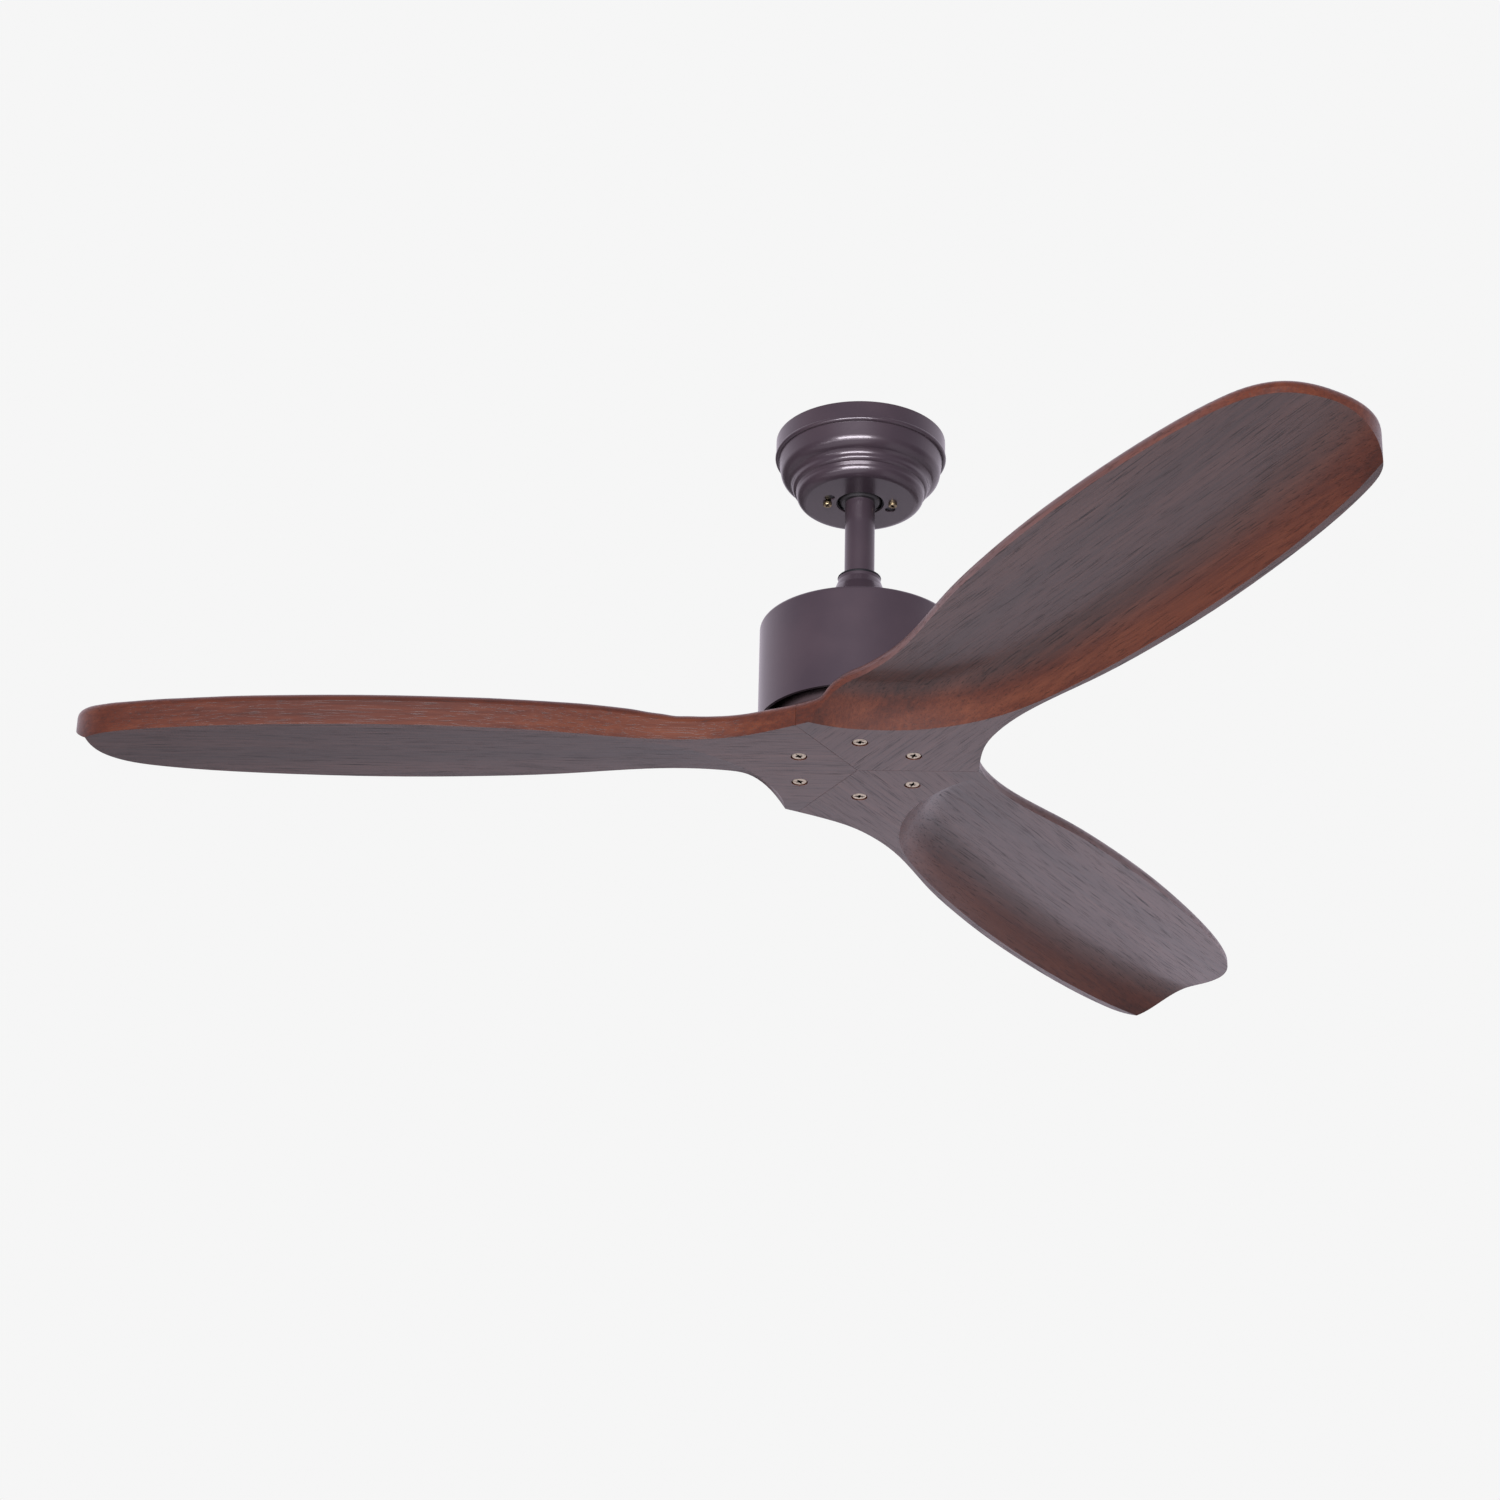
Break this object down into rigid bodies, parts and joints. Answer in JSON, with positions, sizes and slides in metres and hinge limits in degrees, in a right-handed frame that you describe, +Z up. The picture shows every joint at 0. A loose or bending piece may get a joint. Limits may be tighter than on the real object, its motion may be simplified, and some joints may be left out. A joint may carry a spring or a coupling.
{
  "type": "ceiling fan",
  "caption": "Ceiling fan with scooped wooden blades bolted under a cylindrical motor, hung on a short down rod from a stepped canopy by a ball joint.",
  "frame": {"origin": "centre of the hanger bracket's cable hole, in the ceiling plane", "axes": "+Z up along the fan's spin axis, out of the mounting face into the ceiling; -X along the middle line of blade 1; X also runs along the bracket's two slots"},
  "size_m": [1.0284, 1.1711, 0.316],
  "materials": {
    "bronze_paint": "dark bronze semi-gloss enamel",
    "zinc_sheet": "zinc-plated pressed steel",
    "plated_screw": "nickel plate with a warm cast",
    "zinc_screw": "bright zinc plate",
    "black_steel": "black oxide",
    "terminal_plastic": "natural nylon",
    "liner_nylon": "greased black nylon",
    "cast_ball": "black-coated cast zinc",
    "cast_coupling": "painted cast iron",
    "ring_rubber": "black rubber",
    "support_steel": "turned steel",
    "cast_aluminium": "die-cast and turned",
    "rotor_casting": "die-cast, painted to match the housing",
    "laminated_steel": "stacked laminations",
    "copper_winding": "enamelled copper wire",
    "circuit_board": "green solder mask",
    "component_black": "moulded packages",
    "standoff_nylon": "white nylon",
    "bearing_steel": "ground bearing steel",
    "cage_nylon": "glass-filled nylon",
    "magnet_nickel": "nickel-plated magnets",
    "back_iron": "rolled iron ring",
    "blade_wood": "carved wood, stained walnut, satin varnish"
  },
  "bodies": {
    "ceiling_mount": {"hanger_bracket": "zinc_sheet", "bracket_legs": "zinc_sheet", "ball_seat_dish": "black_steel", "canopy": "bronze_paint", "canopy_screws": "plated_screw", "terminal_block": "terminal_plastic", "terminal_screws": "zinc_screw", "earth_screw": "zinc_screw"},
    "ball_seat": {"ball_seat_liner": "liner_nylon"},
    "drop_assembly": {"hanger_ball": "cast_ball", "ball_pin": "zinc_screw", "ball_set_screw": "black_steel", "down_rod": "bronze_paint", "motor_coupling": "cast_coupling", "clevis_pin": "zinc_screw", "cotter_pin": "zinc_screw", "coupling_set_screws": "black_steel", "motor_housing": "bronze_paint", "housing_screws": "zinc_screw", "housing_support_plate": "support_steel", "shaft_nut": "zinc_screw", "motor_shaft": "support_steel", "shaft_circlip": "black_steel", "bearing_lock_nut": "zinc_screw", "stator_hub": "cast_aluminium", "stator_core": "laminated_steel", "stator_coils": "copper_winding", "driver_board": "circuit_board", "driver_components": "component_black", "board_standoffs": "standoff_nylon", "lower_bearing_inner_ring": "bearing_steel", "upper_bearing_inner_ring": "bearing_steel"},
    "cover": {"coupling_cover": "bronze_paint", "collar_ring": "ring_rubber"},
    "lower_ball_train": {"lower_bearing_balls": "bearing_steel", "lower_bearing_cage": "cage_nylon"},
    "upper_ball_train": {"upper_bearing_balls": "bearing_steel", "upper_bearing_cage": "cage_nylon"},
    "rotor": {"rotor_bell": "rotor_casting", "rotor_top_cover": "rotor_casting", "rotor_cover_screws": "zinc_screw", "rotor_back_iron": "back_iron", "rotor_magnets": "magnet_nickel", "blade_carrier": "rotor_casting", "carrier_screws": "zinc_screw", "lower_bearing_outer_ring": "bearing_steel", "upper_bearing_outer_ring": "bearing_steel", "blade_gasket_1": "ring_rubber", "blade_gasket_2": "ring_rubber", "blade_gasket_3": "ring_rubber", "blade_1": "blade_wood", "blade_2": "blade_wood", "blade_3": "blade_wood", "blade_screws": "plated_screw"}
  },
  "joints": [
    {"name": "seat_tilt_x", "type": "hinge", "parent": "ceiling_mount", "child": "ball_seat", "pos_m": [0, 0, -0.0455], "axis": [1, 0, 0], "range_deg": [-15, 15]},
    {"name": "ball_tilt_y", "type": "hinge", "parent": "ball_seat", "child": "drop_assembly", "pos_m": [0, 0, -0.0455], "axis": [0, 1, 0], "range_deg": [-15, 15]},
    {"name": "cover_slide", "type": "slide", "parent": "drop_assembly", "child": "cover", "axis": [0, 0, 1], "range_m": [0, 0.05]},
    {"name": "rotor_spin", "type": "hinge", "parent": "drop_assembly", "child": "rotor", "pos_m": [0, 0, -0.272], "axis": [0, 0, 1], "continuous": true},
    {"name": "lower_bearing_roll", "type": "hinge", "parent": "drop_assembly", "child": "lower_ball_train", "pos_m": [0, 0, -0.272], "axis": [0, 0, 1], "continuous": true},
    {"name": "upper_bearing_roll", "type": "hinge", "parent": "drop_assembly", "child": "upper_ball_train", "pos_m": [0, 0, -0.22], "axis": [0, 0, 1], "continuous": true}
  ],
  "couplings": [
    {"joint": "lower_bearing_roll", "follows": "rotor_spin", "ratio": 0.6032},
    {"joint": "upper_bearing_roll", "follows": "rotor_spin", "ratio": 0.6032}
  ]
}
